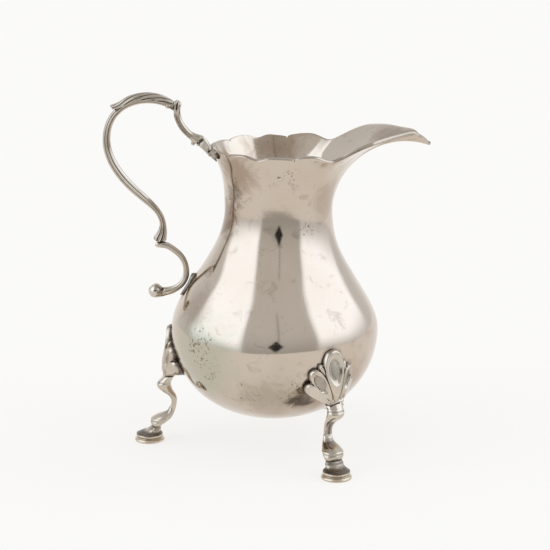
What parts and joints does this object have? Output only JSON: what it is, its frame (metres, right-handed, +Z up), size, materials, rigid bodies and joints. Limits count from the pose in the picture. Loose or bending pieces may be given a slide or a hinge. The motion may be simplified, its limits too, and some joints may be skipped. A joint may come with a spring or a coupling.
{
  "type": "cream jug",
  "caption": "Pear-shaped cream jug with a wavy rim, a long open lip, a double-scroll handle with a leaf cap, and cabriole legs with shell tops and pad feet.",
  "frame": {"origin": "on the table, in the middle of the jug's overall length and width", "axes": "+Z up, +X towards the pouring lip, the handle on -X, the plane y = 0 through the lip and the handle"},
  "size_m": [0.09, 0.0714, 0.1],
  "materials": {
    "raised_silver": "gloss",
    "cast_silver": "satin",
    "pad_silver": "satin"
  },
  "bodies": {
    "root": {"body": "raised_silver", "handle_rim_bracket": "cast_silver", "handle_upper_scroll": "cast_silver", "handle_main_scroll": "cast_silver", "handle_leaf_cap": "cast_silver", "handle_lower_scroll": "cast_silver", "handle_solder_plate": "cast_silver", "back_leg_shell": "cast_silver", "back_leg": "cast_silver", "back_leg_pad": "pad_silver", "right_leg_shell": "cast_silver", "right_leg": "cast_silver", "right_leg_pad": "pad_silver", "left_leg_shell": "cast_silver", "left_leg": "cast_silver", "left_leg_pad": "pad_silver"}
  },
  "joints": []
}
